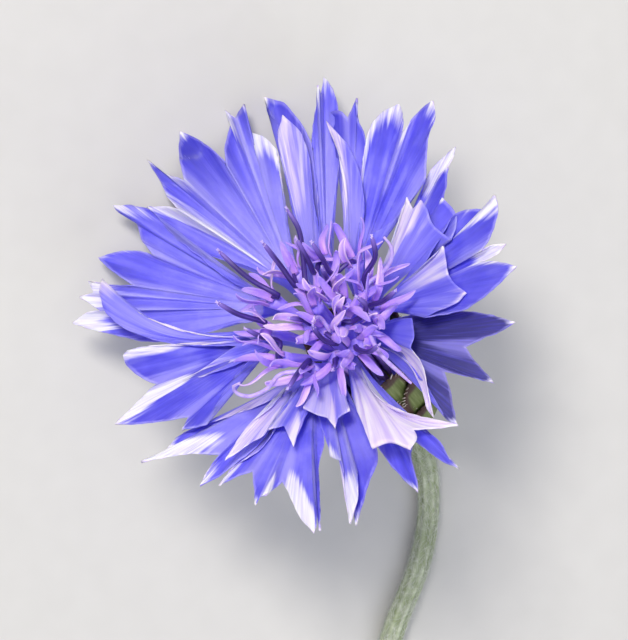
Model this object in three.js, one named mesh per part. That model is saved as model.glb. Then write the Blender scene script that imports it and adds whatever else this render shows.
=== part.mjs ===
// A cut cornflower lying on a table: stem, receptacle, involucral bracts, ray florets and disc
// florets. Millimetres, +Z up, table at z = 0, stem running towards -Y. Every piece of the head is
// modelled in the head's own frame: its +Z is the head's axis, z = 0 is the foot of the involucre,
// and its +X is the side that hangs lowest over the table.
import * as THREE from "three";

// How the flower lies
const HEAD_LEAN = THREE.MathUtils.degToRad(48.5);
const HEAD_HEADING = THREE.MathUtils.degToRad(132);
const HEAD_FOOT_HEIGHT = 5.3;

// Stem
const STEM_RADIUS = 1.1;
const STEM_SIDES = 10;
const STEM_RINGS = 34;
const NECK_LENGTH = 2.8;
// Centre line of the stem on the table, from the foot of the head to the cut end: x, y, height
const STEM_REST = [
  [2.6, -3.9, 2.25],
  [3.7, -6.4, 1.45],
  [4.5, -9, STEM_RADIUS],
  [4.85, -13.4, STEM_RADIUS],
  [4.2, -18.4, STEM_RADIUS],
  [2.3, -24.5, STEM_RADIUS],
  [1.2, -31, STEM_RADIUS],
  [1, -38, STEM_RADIUS],
  [1.8, -45, STEM_RADIUS],
  [3, -52, STEM_RADIUS],
];

// Clearance between pieces that touch in the living flower
const SEAT_GAP = 0.3;

// Receptacle: radius and height up the head's axis
const RECEPTACLE_TOP = 6;
const RECEPTACLE_PROFILE = [
  [0, SEAT_GAP],
  [1.2, SEAT_GAP],
  [2.2, 1.2],
  [2.9, 2.6],
  [3.3, 4.2],
  [3.45, RECEPTACLE_TOP],
  [0, RECEPTACLE_TOP],
];
const RECEPTACLE_SIDES = 20;

// Involucral bracts: three rows of scales that overlap like roof tiles
const BRACTS_PER_ROW = 8;
const BRACT_THICKNESS = 0.35;
const BRACT_ROW_STEP = 0.62;
const BRACT_SIDE_GAP = 0.22;
const BRACT_TIP_HALF_WIDTH = 0.16;
const BRACT_COLUMNS = 4;
const BRACT_SEGMENTS = 5;
// A scale widens from its foot up to this share of its length, then closes in a rounded point
const BRACT_WIDEST = 0.45;
const BRACT_FOOT_WIDTH = 0.8;
const BRACT_ROWS = [
  { name: "inner", foot: 3.1, top: 14.6, turn: 0 },
  { name: "middle", foot: 1.7, top: 10.8, turn: 22.5 },
  { name: "outer", foot: 0.6, top: 6.3, turn: 9 },
];
// Radius of the innermost scales' middle surface above the receptacle, by height
const INVOLUCRE_WALL = [
  [RECEPTACLE_TOP, 3.93],
  [9, 4.02],
  [12, 4.15],
  [15, 4.75],
];

// Ray florets
const RAY_FOOT_RADIUS = 3;
const RAY_TUBE_HALF_WIDTH = 0.3;
const RAY_TUBE_THICKNESS = 0.5;
const RAY_LIMB_THICKNESS = 0.38;
const RAY_CUP = 0.22;
const RAY_MEAN_RISE = 20;
const RAY_RISE_SWING = 15;
const RAY_NOTCH = 0.2;
const RAY_SIDE_SHORTENING = 0.1;
const RAY_ROWS = 8;
const RAY_TUBE_SHARE = 0.4;
// Bends of a floret's tube between foot and throat: share of the turn, share of the way out, height
const RAY_TUBE_BENDS = [
  { turned: 0.3, out: 0.06, height: 10.5 },
  { turned: 0.75, out: 0.4, height: 14.2 },
];
// The florets sit in two tiers, so that neighbours pass over and under each other
const TIERS = {
  lower: { throatRadius: 5, throatHeight: 16.3, lift: 0 },
  upper: { throatRadius: 4.6, throatHeight: 17.9, lift: 0.6 },
};
// Direction round the head in degrees from its lowest side, reach from the axis, half spread in
// degrees, lobes, and tier
const RAY_FLORETS = [
  { at: 0, reach: 25.4, spread: 16, lobes: 4, tier: "upper" },
  { at: -23, reach: 24, spread: 8, lobes: 3, tier: "lower" },
  { at: -34, reach: 24, spread: 5.5, lobes: 2, tier: "upper" },
  { at: -45, reach: 21.6, spread: 7, lobes: 2, tier: "lower" },
  { at: -59, reach: 21.6, spread: 10, lobes: 3, tier: "upper" },
  { at: -76, reach: 18.6, spread: 10, lobes: 3, tier: "lower" },
  { at: -108, reach: 17.6, spread: 20, lobes: 4, tier: "upper" },
  { at: -153, reach: 18, spread: 21, lobes: 4, tier: "lower" },
  { at: -184, reach: 21.5, spread: 14, lobes: 4, tier: "upper" },
  { at: -206, reach: 21.6, spread: 12, lobes: 3, tier: "lower" },
  { at: -230, reach: 21.5, spread: 18, lobes: 4, tier: "upper" },
  { at: -263, reach: 20.6, spread: 15, lobes: 3, tier: "lower" },
  { at: -293, reach: 21.4, spread: 17, lobes: 4, tier: "upper" },
  { at: -326, reach: 25, spread: 17, lobes: 5, tier: "lower" },
];
const RAY_FOOT_TURN = -8;
const FULL_TURN = 360;

// Disc florets: an inner and an outer ring
const DISC_TUBE_RADIUS = 0.32;
const DISC_BELL_RADIUS = 0.72;
const DISC_ANTHER_RADIUS = 0.34;
const DISC_TIP_RADIUS = 0.16;
const DISC_SIDES = 7;
const DISC_RINGS = 9;
const DISC_RINGS_OF_FLORETS = [
  { count: 6, foot: 1, waist: 1.15, bell: 1.9, tip: 2.6, tipHeight: 24.4, turn: 15 },
  { count: 12, foot: 2.05, waist: 2.25, bell: 3.5, tip: 6.3, tipHeight: 23.2, turn: 0 },
];
const DISC_WAIST_HEIGHT = 14;
const DISC_BELL_HEIGHT = 0.86;
// Radius of a disc floret by share of its length: tube, bell of lobes, anther tube, tip
const DISC_PROFILE = [
  [0, DISC_TUBE_RADIUS],
  [0.55, DISC_TUBE_RADIUS],
  [0.76, DISC_BELL_RADIUS],
  [0.86, DISC_ANTHER_RADIUS],
  [1, DISC_TIP_RADIUS],
];

// Step in u and v that a sheet's normals are measured over
const NORMAL_STEP = 0.001;

// Finishes
const finish = (color, roughness) =>
  new THREE.MeshStandardMaterial({ color, roughness, metalness: 0 });
const STEM_SKIN = finish(0x7e8a70, 0.9);
const RECEPTACLE_FLESH = finish(0x9aa06a, 0.8);
const BRACT_SKIN = finish(0x66703f, 0.75);
const RAY_PETAL = finish(0x6f66ee, 0.6);
const DISC_PETAL = finish(0x8f6fe0, 0.6);

// Adds one closed mesh to a group
function addPiece(group, name, geometry, material) {
  const piece = new THREE.Mesh(geometry, material);
  piece.name = name;
  group.add(piece);
  return piece;
}

function closedGeometry(points, faces) {
  const geometry = new THREE.BufferGeometry();
  geometry.setFromPoints(points);
  geometry.setIndex(faces.flat());
  geometry.computeVertexNormals();
  return geometry;
}

// A thin sheet with a rim: surface(u, v) gives its middle surface for u and v from 0 to 1, and
// thickness(v) how thick it is there
function sheetGeometry(columns, rows, surface, thickness) {
  const sides = [[], []];
  for (let row = 0; row <= rows; row++) {
    for (let column = 0; column <= columns; column++) {
      const u = column / columns;
      const v = row / rows;
      const middle = surface(u, v);
      const [left, right] = [Math.max(u - NORMAL_STEP, 0), Math.min(u + NORMAL_STEP, 1)];
      const [low, high] = [Math.max(v - NORMAL_STEP, 0), Math.min(v + NORMAL_STEP, 1)];
      const across = surface(right, v).sub(surface(left, v));
      const upward = surface(u, high).sub(surface(u, low));
      const normal = across.cross(upward).normalize();
      const half = thickness(v) / 2;
      sides[0].push(middle.clone().addScaledVector(normal, half));
      sides[1].push(middle.clone().addScaledVector(normal, -half));
    }
  }
  const width = columns + 1;
  const under = sides[0].length;
  const at = (column, row, side) => row * width + column + side * under;
  const faces = [];
  const quad = (a, b, c, d) => faces.push([a, b, c], [a, c, d]);
  for (let row = 0; row < rows; row++) {
    for (let column = 0; column < columns; column++) {
      const corners = [[0, 0], [1, 0], [1, 1], [0, 1]].map(([x, y]) => [column + x, row + y]);
      quad(...corners.map(([x, y]) => at(x, y, 0)));
      quad(...corners.reverse().map(([x, y]) => at(x, y, 1)));
    }
  }
  const steps = (count) => Array.from({ length: count }, (_, i) => i);
  const rim = [
    ...steps(columns).map((i) => [i, 0]),
    ...steps(rows).map((i) => [columns, i]),
    ...steps(columns).map((i) => [columns - i, rows]),
    ...steps(rows).map((i) => [0, rows - i]),
  ];
  rim.forEach(([column, row], i) => {
    const [nextColumn, nextRow] = rim[(i + 1) % rim.length];
    quad(
      at(column, row, 1),
      at(nextColumn, nextRow, 1),
      at(nextColumn, nextRow, 0),
      at(column, row, 0),
    );
  });
  return closedGeometry([...sides[0], ...sides[1]], faces);
}

// A round rod along a curve, its radius given for shares 0 to 1 of the curve's length
function rodGeometry(path, sides, rings, radiusAt) {
  const frames = path.computeFrenetFrames(rings, false);
  const points = [];
  for (let ring = 0; ring <= rings; ring++) {
    const share = ring / rings;
    const centre = path.getPointAt(share);
    for (let side = 0; side < sides; side++) {
      const turn = (side / sides) * 2 * Math.PI;
      points.push(
        centre
          .clone()
          .addScaledVector(frames.normals[ring], Math.cos(turn) * radiusAt(share))
          .addScaledVector(frames.binormals[ring], Math.sin(turn) * radiusAt(share)),
      );
    }
  }
  const faces = [];
  for (let ring = 0; ring < rings; ring++) {
    for (let side = 0; side < sides; side++) {
      const next = (side + 1) % sides;
      const low = ring * sides;
      const high = low + sides;
      faces.push([low + side, low + next, high + next], [low + side, high + next, high + side]);
    }
  }
  const foot = points.push(path.getPointAt(0)) - 1;
  const top = points.push(path.getPointAt(1)) - 1;
  for (let side = 0; side < sides; side++) {
    const next = (side + 1) % sides;
    const last = rings * sides;
    faces.push([foot, next, side], [top, last + side, last + next]);
  }
  return closedGeometry(points, faces);
}

// Reads a list of [position, value] pairs with straight lines between them
function readAlong(pairs, position) {
  const next = pairs.findIndex(([p]) => p >= position);
  if (next <= 0) return pairs.at(next === 0 ? 0 : -1)[1];
  const [p0, value0] = pairs[next - 1];
  const [p1, value1] = pairs[next];
  return THREE.MathUtils.mapLinear(position, p0, p1, value0, value1);
}

// A point of the head's frame from its direction round the axis, radius and height
function around(turn, radius, height) {
  return new THREE.Vector3(radius * Math.cos(turn), radius * Math.sin(turn), height);
}

// Where the table would cut a petal, the petal is bent up to lie on it
function onTable(point, clearance) {
  const up = new THREE.Vector3(-Math.sin(HEAD_LEAN), 0, Math.cos(HEAD_LEAN));
  const height = HEAD_FOOT_HEIGHT + point.dot(up);
  return point.addScaledVector(up, Math.max(clearance - height, 0));
}

function addStem(flower) {
  const axis = around(HEAD_HEADING, Math.sin(HEAD_LEAN), Math.cos(HEAD_LEAN));
  const foot = new THREE.Vector3(0, 0, HEAD_FOOT_HEIGHT);
  const path = new THREE.CatmullRomCurve3([
    foot,
    foot.clone().addScaledVector(axis, -NECK_LENGTH),
    ...STEM_REST.map((point) => new THREE.Vector3(...point)),
  ]);
  addPiece(flower, "stem", rodGeometry(path, STEM_SIDES, STEM_RINGS, () => STEM_RADIUS), STEM_SKIN);
}

function addReceptacle(head) {
  const profile = RECEPTACLE_PROFILE.map(([radius, height]) => new THREE.Vector2(radius, height));
  const geometry = new THREE.LatheGeometry(profile, RECEPTACLE_SIDES);
  geometry.rotateX(Math.PI / 2);
  addPiece(head, "receptacle", geometry, RECEPTACLE_FLESH);
}

// Radius of a scale's middle surface: the outer rows leave the receptacle below the inner ones
function bractRadius(row, height) {
  const seat = BRACT_THICKNESS / 2 + SEAT_GAP;
  const flesh = RECEPTACLE_PROFILE.slice(1, -1).map(([radius, level]) => [level, radius + seat]);
  const wall = readAlong([...flesh.slice(0, -1), ...INVOLUCRE_WALL], height);
  const { foot } = BRACT_ROWS[row];
  const spread = row === 0 ? 0 : BRACT_ROWS[row - 1].foot - foot;
  const away = row === 0 ? 0 : THREE.MathUtils.clamp((height - foot) / spread, 0, 1);
  return wall + row * BRACT_ROW_STEP * away;
}

// Width of a scale at a share v of its length, as a share of its full width
function bractWidthShare(v) {
  if (v < BRACT_WIDEST) {
    const widening = Math.sin((v / BRACT_WIDEST) * (Math.PI / 2));
    return THREE.MathUtils.lerp(BRACT_FOOT_WIDTH, 1, widening);
  }
  return Math.sqrt(1 - ((v - BRACT_WIDEST) / (1 - BRACT_WIDEST)) ** 2);
}

function addBracts(head) {
  BRACT_ROWS.forEach(({ name, foot, top, turn }, row) => {
    for (let i = 0; i < BRACTS_PER_ROW; i++) {
      const middle = THREE.MathUtils.degToRad(turn) + (i / BRACTS_PER_ROW) * 2 * Math.PI;
      const surface = (u, v) => {
        const height = THREE.MathUtils.lerp(foot, top, v);
        const radius = bractRadius(row, height);
        const full = (Math.PI / BRACTS_PER_ROW) * radius - BRACT_SIDE_GAP;
        const half = Math.max(full * bractWidthShare(v), BRACT_TIP_HALF_WIDTH);
        return around(middle + ((2 * u - 1) * half) / radius, radius, height);
      };
      const geometry = sheetGeometry(
        BRACT_COLUMNS,
        BRACT_SEGMENTS,
        surface,
        () => BRACT_THICKNESS,
      );
      addPiece(head, `bract_${name}_${i + 1}`, geometry, BRACT_SKIN);
    }
  });
}

// How far a notch or a side cuts back the limb's rim, for u from 0 to 1 across the lobes
function rimShare(u, lobes) {
  const inLobe = (u * lobes) % 1;
  const cut = Math.abs(2 * inLobe - 1);
  return 1 - RAY_NOTCH * cut - RAY_SIDE_SHORTENING * (2 * u - 1) ** 2;
}

function addRayFlorets(head) {
  RAY_FLORETS.forEach(({ at, reach, spread, lobes, tier }, i) => {
    const { throatRadius, throatHeight, lift } = TIERS[tier];
    const turn = THREE.MathUtils.degToRad(at);
    const footTurn = THREE.MathUtils.degToRad(
      RAY_FOOT_TURN - (i / RAY_FLORETS.length) * FULL_TURN,
    );
    const rise = THREE.MathUtils.degToRad(RAY_MEAN_RISE - RAY_RISE_SWING * Math.cos(turn));
    const limb = reach - throatRadius;
    const bends = RAY_TUBE_BENDS.map(({ turned, out, height }) =>
      around(
        THREE.MathUtils.lerp(footTurn, turn, turned),
        THREE.MathUtils.lerp(RAY_FOOT_RADIUS, throatRadius, out),
        height,
      ),
    );
    const tipHeight = throatHeight + lift + limb * Math.tan(rise);
    const path = new THREE.CatmullRomCurve3([
      around(footTurn, RAY_FOOT_RADIUS, RECEPTACLE_TOP + SEAT_GAP),
      ...bends,
      around(turn, throatRadius, throatHeight),
      around(turn, throatRadius + limb / 2, (throatHeight + tipHeight) / 2),
      around(turn, reach, tipHeight),
    ]);
    const side = around(turn + Math.PI / 2, 1, 0);
    const widest = reach * Math.tan(THREE.MathUtils.degToRad(spread));
    const surface = (u, v) => {
      const share = v * rimShare(u, lobes) ** (v * v);
      const across = 2 * u - 1;
      const open = THREE.MathUtils.smoothstep(share, RAY_TUBE_SHARE, 1);
      const half = THREE.MathUtils.lerp(RAY_TUBE_HALF_WIDTH, widest, open);
      const point = path.getPointAt(share).addScaledVector(side, across * half);
      point.z += RAY_CUP * across * across * half * open;
      return onTable(point, RAY_LIMB_THICKNESS / 2);
    };
    const thickness = (v) =>
      THREE.MathUtils.lerp(
        RAY_TUBE_THICKNESS,
        RAY_LIMB_THICKNESS,
        THREE.MathUtils.smoothstep(v, 0, RAY_TUBE_SHARE),
      );
    const geometry = sheetGeometry(2 * lobes, RAY_ROWS, surface, thickness);
    addPiece(head, `ray_floret_${i + 1}`, geometry, RAY_PETAL);
  });
}

function addDiscFlorets(head) {
  let number = 0;
  for (const ring of DISC_RINGS_OF_FLORETS) {
    for (let i = 0; i < ring.count; i++) {
      const turn = THREE.MathUtils.degToRad(ring.turn) + (i / ring.count) * 2 * Math.PI;
      const path = new THREE.CatmullRomCurve3([
        around(turn, ring.foot, RECEPTACLE_TOP + SEAT_GAP),
        around(turn, ring.waist, DISC_WAIST_HEIGHT),
        around(turn, ring.bell, ring.tipHeight * DISC_BELL_HEIGHT),
        around(turn, ring.tip, ring.tipHeight),
      ]);
      number += 1;
      const radiusAt = (share) => readAlong(DISC_PROFILE, share);
      const geometry = rodGeometry(path, DISC_SIDES, DISC_RINGS, radiusAt);
      addPiece(head, `disc_floret_${number}`, geometry, DISC_PETAL);
    }
  }
}

const head = new THREE.Group();
head.position.z = HEAD_FOOT_HEIGHT;
head.rotation.set(0, HEAD_LEAN, HEAD_HEADING, "ZYX");
addReceptacle(head);
addBracts(head);
addRayFlorets(head);
addDiscFlorets(head);

const lyingFlower = new THREE.Group();
lyingFlower.add(head);
addStem(lyingFlower);

// The origin is on the table, under the middle of the whole flower
const box = new THREE.Box3().setFromObject(lyingFlower, true);
const middle = box.getCenter(new THREE.Vector3());
lyingFlower.position.set(-middle.x, -middle.y, -box.min.z);

const flower = new THREE.Group();
flower.add(lyingFlower);

export default flower;
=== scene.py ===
"""A cornflower as picked, lying on a pale table: the looks of each piece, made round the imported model.

Lengths here are millimetres, and turn to metres when a mesh is made. Pixels are those of the
628 x 640 view. The head of the flower has its own directions: up its axis, towards the side that
hangs lowest over the table, and across.
"""

import random
from functools import partial
from math import cos, degrees, pi, radians, sin

import bpy
import numpy as np
from mathutils import Matrix, Vector, noise
from numpy.linalg import norm


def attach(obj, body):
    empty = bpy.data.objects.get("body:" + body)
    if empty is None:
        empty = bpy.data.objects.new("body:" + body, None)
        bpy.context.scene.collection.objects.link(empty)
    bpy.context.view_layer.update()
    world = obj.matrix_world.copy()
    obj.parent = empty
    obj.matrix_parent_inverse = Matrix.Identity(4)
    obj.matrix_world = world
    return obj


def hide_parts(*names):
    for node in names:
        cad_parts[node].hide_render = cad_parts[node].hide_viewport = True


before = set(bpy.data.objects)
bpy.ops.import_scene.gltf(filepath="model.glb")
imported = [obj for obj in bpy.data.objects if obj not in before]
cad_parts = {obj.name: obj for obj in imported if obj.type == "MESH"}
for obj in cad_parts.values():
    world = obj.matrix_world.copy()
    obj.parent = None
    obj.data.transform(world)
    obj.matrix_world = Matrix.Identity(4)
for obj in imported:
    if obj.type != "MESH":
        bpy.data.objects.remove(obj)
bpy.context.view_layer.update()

MM = 0.001
draw = random.Random(14)

# How the flower lies and how it is looked at: degrees, millimetres and pixels
HEAD_LEAN = 48.5
HEAD_HEADING = 132
CAMERA_LEAN = 21
CAMERA_DISTANCE = 350
VIEW_SIZE = (628, 640)
PIXELS_PER_MM = 10.7
HEAD_FOOT_PIXEL = (400, 400)
SEAT_GAP = 0.3
FOOT_BAND = 0.05
TABLE_CLEARANCE = 0.12


# ---- places and directions


def unit(vector):
    return vector / norm(vector)


def leaning(angle):
    """The direction that leans so far from upright towards the head's heading."""
    heading, lean = radians(HEAD_HEADING), radians(angle)
    level = sin(lean)
    return np.array([cos(heading) * level, sin(heading) * level, cos(lean)])


AXIS = leaning(HEAD_LEAN)
LOW_SIDE = leaning(HEAD_LEAN + 90)
CROSS_SIDE = np.cross(AXIS, LOW_SIDE)
TO_CAMERA = leaning(CAMERA_LEAN)
VIEW_UP = unit(np.array([0, TO_CAMERA[2], -TO_CAMERA[1]]))
VIEW_RIGHT = np.cross(VIEW_UP, TO_CAMERA)


def node_points(name):
    """The vertices of a CAD node, in millimetres."""
    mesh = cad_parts[name].data
    points = np.empty(len(mesh.vertices) * 3)
    mesh.vertices.foreach_get("co", points)
    return points.reshape(-1, 3) / MM


def foot_of(name):
    """The middle of a node's lowest points along the head's axis."""
    points = node_points(name)
    heights = points @ AXIS
    return points[heights < heights.min() + FOOT_BAND].mean(axis=0)


HEAD_FOOT = foot_of("receptacle") - SEAT_GAP * AXIS
FOCAL = CAMERA_DISTANCE * PIXELS_PER_MM
CAMERA = (
    HEAD_FOOT
    + CAMERA_DISTANCE * TO_CAMERA
    - (HEAD_FOOT_PIXEL[0] - VIEW_SIZE[0] / 2) / PIXELS_PER_MM * VIEW_RIGHT
    - (VIEW_SIZE[1] / 2 - HEAD_FOOT_PIXEL[1]) / PIXELS_PER_MM * VIEW_UP
)


def at_height(pixels, heights):
    """Points seen at these pixels, at heights up the head's axis from its foot."""
    pixels = np.asarray(pixels, float)
    right = (pixels[..., :1] - VIEW_SIZE[0] / 2) / FOCAL
    up = (VIEW_SIZE[1] / 2 - pixels[..., 1:]) / FOCAL
    rays = right * VIEW_RIGHT + up * VIEW_UP - TO_CAMERA
    reach = (heights - (CAMERA - HEAD_FOOT) @ AXIS) / (rays @ AXIS)
    return CAMERA + rays * reach[..., None]


def off_table(points):
    """Points below the table's surface move up their line of sight until they lie on it."""
    rays = points - CAMERA
    share = (TABLE_CLEARANCE - CAMERA[2]) / rays[..., 2]
    seen = CAMERA + rays * share[..., None]
    return np.where(points[..., 2:] < TABLE_CLEARANCE, seen, points)


# The open limbs of the ray florets lie about a wide bowl: it starts at the throats and rises
# little on the low side and more on the high side
BOWL_RADIUS = 4.5
BOWL_HEIGHT = 17.5
BOWL_MEAN_RISE = 20
BOWL_RISE_SWING = 15
BOWL_STEPS = 12


def on_bowl(pixels, lifts):
    """Points seen at these pixels that lie so far above the bowl, found step by step."""
    heights = np.full(pixels.shape[:-1], float(BOWL_HEIGHT))
    for _ in range(BOWL_STEPS):
        out = at_height(pixels, heights) - HEAD_FOOT
        low, across = out @ LOW_SIDE, out @ CROSS_SIDE
        rise = np.radians(BOWL_MEAN_RISE - BOWL_RISE_SWING * np.cos(np.arctan2(across, low)))
        heights = BOWL_HEIGHT + (np.hypot(low, across) - BOWL_RADIUS) * np.tan(rise) + lifts
    return at_height(pixels, heights)


def smooth(value, low, high):
    """A smooth step: 0 up to low, and 1 from high on."""
    share = np.clip((np.asarray(value, float) - low) / (high - low), 0, 1)
    return share * share * (3 - 2 * share)


SPLINE_STEPS = 16


def spline(points, count):
    """A smooth curve through the points, with evenly spaced samples, both ends included."""
    points = np.asarray(points, float)
    if len(points) == 2:
        share = np.linspace(0, 1, count)[:, None]
        return points[0] + (points[1] - points[0]) * share
    padded = np.vstack([2 * points[0] - points[1], points, 2 * points[-1] - points[-2]])
    t = np.linspace(0, 1, SPLINE_STEPS, endpoint=False)[:, None]
    dense = []
    for a, b, c, d in zip(padded, padded[1:], padded[2:], padded[3:]):
        dense.append(
            b + 0.5 * t * (c - a + t * (2 * a - 5 * b + 4 * c - d + t * (3 * (b - c) + d - a)))
        )
    dense = np.vstack([*dense, points[-1:]])
    length = np.concatenate([[0], np.cumsum(norm(np.diff(dense, axis=0), axis=1))])
    wanted = np.linspace(0, length[-1], count)
    return np.stack([np.interp(wanted, length, axis) for axis in dense.T], axis=1)


def wobble(points, size, seed):
    """Smooth noise from -1 to 1 at each point, its bumps about this size."""
    flat = np.asarray(points).reshape(-1, 3) / size
    values = [noise.noise(Vector(p) + Vector((seed, 0, 0))) for p in flat]
    return np.array(values).reshape(np.shape(points)[:-1])


# ---- materials


def linear(hex_colour):
    """Scene-linear RGBA from an sRGB hex value."""
    channels = [int(hex_colour[i : i + 2], 16) / 255 for i in (1, 3, 5)]
    return [c / 12.92 if c <= 0.04045 else ((c + 0.055) / 1.055) ** 2.4 for c in channels] + [1]


def add_node(tree, kind, out=0, settings=None, stops=(), **sockets):
    """Adds a node and gives its output. A socket is named, or _number where names repeat, and
    takes a value, a #colour, the name of values painted on the mesh, or another node's output.
    stops are a colour ramp's (place, #colour)."""
    node = tree.nodes.new("ShaderNode" + kind)
    for name, value in (settings or {}).items():
        setattr(node, name, value)
    for name, value in sockets.items():
        socket = node.inputs[int(name[1:]) if name[0] == "_" else name.replace("_", " ")]
        if isinstance(value, str) and value[0] != "#":
            value = add_node(tree, "Attribute", "Fac", {"attribute_name": value})
        if isinstance(value, bpy.types.NodeSocket):
            tree.links.new(value, socket)
        else:
            socket.default_value = linear(value) if isinstance(value, str) else value
    for number, (place, colour) in enumerate(stops):
        if number >= len(node.color_ramp.elements):
            node.color_ramp.elements.new(place)
        node.color_ramp.elements[number].position = place
        node.color_ramp.elements[number].color = linear(colour)
    return node.outputs[out]


SOFT_STEP = {"interpolation_type": "SMOOTHSTEP"}
SUBTRACT, MULTIPLY, DIVIDE, MULTIPLY_ADD = (
    {"operation": word} for word in ("SUBTRACT", "MULTIPLY", "DIVIDE", "MULTIPLY_ADD")
)


def finish_surface(name, paint, distance, strength, **gloss):
    """A material. paint gives its ground colour, the layers of colour over it as (share, colour),
    and the height of its relief, distance is how deep that is in mm, and gloss is even."""
    material = bpy.data.materials.new(name)
    material.use_nodes = True
    tree = material.node_tree
    colour, layers, height = paint(partial(add_node, tree))
    for share, tint in layers:
        colour = add_node(tree, "Mix", 2, {"data_type": "RGBA"}, _0=share, _6=colour, _7=tint)
    shader = tree.nodes["Principled BSDF"]
    tree.links.new(colour, shader.inputs["Base Color"])
    normal = add_node(tree, "Bump", Height=height, Distance=distance * MM, Strength=strength)
    tree.links.new(normal, shader.inputs["Normal"])
    for socket, value in gloss.items():
        shader.inputs[socket.replace("_", " ")].default_value = value
    return material


def vein_streaks(add, spacing, stretch):
    """Noise drawn out along a petal: spacing across the veins and stretch along them, in mm."""
    across = add("Math", 0, DIVIDE, _0="across", _1=spacing)
    along = add("Math", 0, DIVIDE, _0="along", _1=stretch)
    place = add("CombineXYZ", X=across, Y=along, Z="piece")
    return add("TexNoise", Vector=place, Scale=1.0, Detail=3, Roughness=0.55)


def streaky_share(add, name, streaks, unevenness):
    """A share painted on the mesh, broken up along the veins where it is neither 0 nor 1."""
    uneven = add("Math", 0, SUBTRACT, _0=streaks, _1=0.5)
    moved = add("Math", 0, MULTIPLY_ADD, _0=uneven, _1=unevenness, _2=name)
    return add("MapRange", 0, SOFT_STEP, Value=moved, From_Min=0.25, From_Max=0.8)


def grained(stops, grain, detail=4.0):
    """Paint that follows noise with grains of this size in millimetres."""

    def paint(add):
        place = add("TexCoord", "Object")
        cells = add("TexNoise", Vector=place, Scale=1 / (grain * MM), Detail=detail)
        return add("ValToRGB", stops=stops, Fac=cells), [], cells

    return paint


def petal_inside(add):
    """The upper skin, its cells full of blue pigment: deep blue in the lobes, lighter and more
    lavender towards the throat, on the ridges between lobes and at the margin."""
    broad = vein_streaks(add, 1.8, 6)
    fine = vein_streaks(add, 0.5, 5)
    pigment = [(0.3, "#3836b2"), (0.5, "#4a47d2"), (0.7, "#6864ee")]
    lobe = add("ValToRGB", stops=pigment, Fac=broad)
    middle = grained([(0.3, "#605ce6"), (0.5, "#7873f2"), (0.7, "#9a95fa")], 2.6)(add)[0]
    inward = dict(From_Min=0.95, From_Max=0.35, To_Min=0.1, To_Max=0.75)
    inward = add("MapRange", 0, SOFT_STEP, Value="depth", **inward)
    uneven = add("Math", 0, MULTIPLY, _0=inward, _1=fine)
    inward = add("Math", 0, MULTIPLY_ADD, _0=uneven, _1=0.9, _2=inward)
    inward = add("Math", 0, MULTIPLY, _0=inward, _1=0.6)
    veins = add("Math", 0, MULTIPLY_ADD, _0=fine, _1=-1.4, _2=1.6)
    deep, dull = (add("Math", 0, MULTIPLY, _0=name, _1=veins) for name in ("deep", "dull"))
    throat = dict(From_Min=0.36, From_Max=0.02, To_Max=0.85)
    throat = add("MapRange", 0, SOFT_STEP, Value="depth", **throat)
    ridge, rim = (streaky_share(add, name, fine, 0.6) for name in ("ridge", "rim"))
    ridge = add("Math", 0, MULTIPLY, _0=ridge, _1=0.5)
    rim = add("Math", 0, MULTIPLY, _0=rim, _1=0.3)
    # White over the blue where pale says: partly the skin's own paleness, partly painted highlight
    pale = streaky_share(add, "pale", fine, 0.9)
    white = add("ValToRGB", stops=[(0.3, "#c3bdf6"), (0.6, "#e8e5fa")], Fac=fine)
    # lit is painted light and dull is painted shade, laid over the skin's own colour
    shaded = [(inward, middle), ("lit", "#aaa4f8"), (deep, "#3633b8"), (dull, "#3d3b78")]
    lighter = [(throat, "#a9a0f4"), (ridge, "#a8a3fa"), (rim, "#b0acf8"), (pale, white)]
    return lobe, shaded + lighter, fine


def petal_outside(add):
    """The under skin, with little pigment: lavender blue, turning pinkish white where it faces
    the light, with violet veins and a violet tube."""
    broad = vein_streaks(add, 1.1, 9)
    fine = vein_streaks(add, 0.45, 7)
    skin = [(0.3, "#5552da"), (0.5, "#6b67ec"), (0.7, "#908bf7")]
    blue = add("ValToRGB", stops=skin, Fac=broad)
    veins = add("ValToRGB", stops=[(0.3, "#605ce4"), (0.66, "#9893f8")], Fac=fine)
    pale = streaky_share(add, "pale", broad, 0.8)
    tube = dict(From_Min=0.06, From_Max=0.4, To_Min=0.25)
    tube = add("MapRange", 0, SOFT_STEP, Value="depth", **tube)
    pale = add("Math", 0, MULTIPLY, _0=pale, _1=tube)
    pink = [(0.34, "#c6b4f2"), (0.5, "#e0d1f6"), (0.62, "#f0e5f9")]
    pink = add("ValToRGB", stops=pink, Fac=broad)
    # lit is painted light on the floret's inner part
    return blue, [(0.4, veins), ("lit", "#a9a0f4"), (pale, pink)], fine


def disc_petal(add):
    """Petal skin of the disc florets: pink-violet, bluer towards the tips, pink in the light."""
    fine = vein_streaks(add, 0.32, 3)
    skin = [(0.3, "#8c6afc"), (0.5, "#b08eff"), (0.7, "#d6b6ff")]
    violet = add("ValToRGB", stops=skin, Fac=fine)
    length = [(0.0, "#e2a4fc"), (0.5, "#b894ff"), (1.0, "#9488ff")]
    lobe = add("ValToRGB", stops=length, Fac="depth")
    pale = streaky_share(add, "pale", fine, 0.5)
    return violet, [(0.5, lobe), (pale, "#e6c4fc")], fine


def anther_tube(add):
    """The tube of joined anthers: smooth, dark purple, ribbed lengthways, lighter at its mouth."""
    fine = vein_streaks(add, 0.2, 3)
    skin = [(0.3, "#2e1e5e"), (0.6, "#452f8a"), (0.8, "#765cba")]
    dark = add("ValToRGB", stops=skin, Fac=fine)
    mouth = dict(From_Min=0.86, From_Max=1.0, To_Max=0.7)
    mouth = add("MapRange", 0, SOFT_STEP, Value="depth", **mouth)
    return dark, [(mouth, "#8a70d6")], fine


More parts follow.
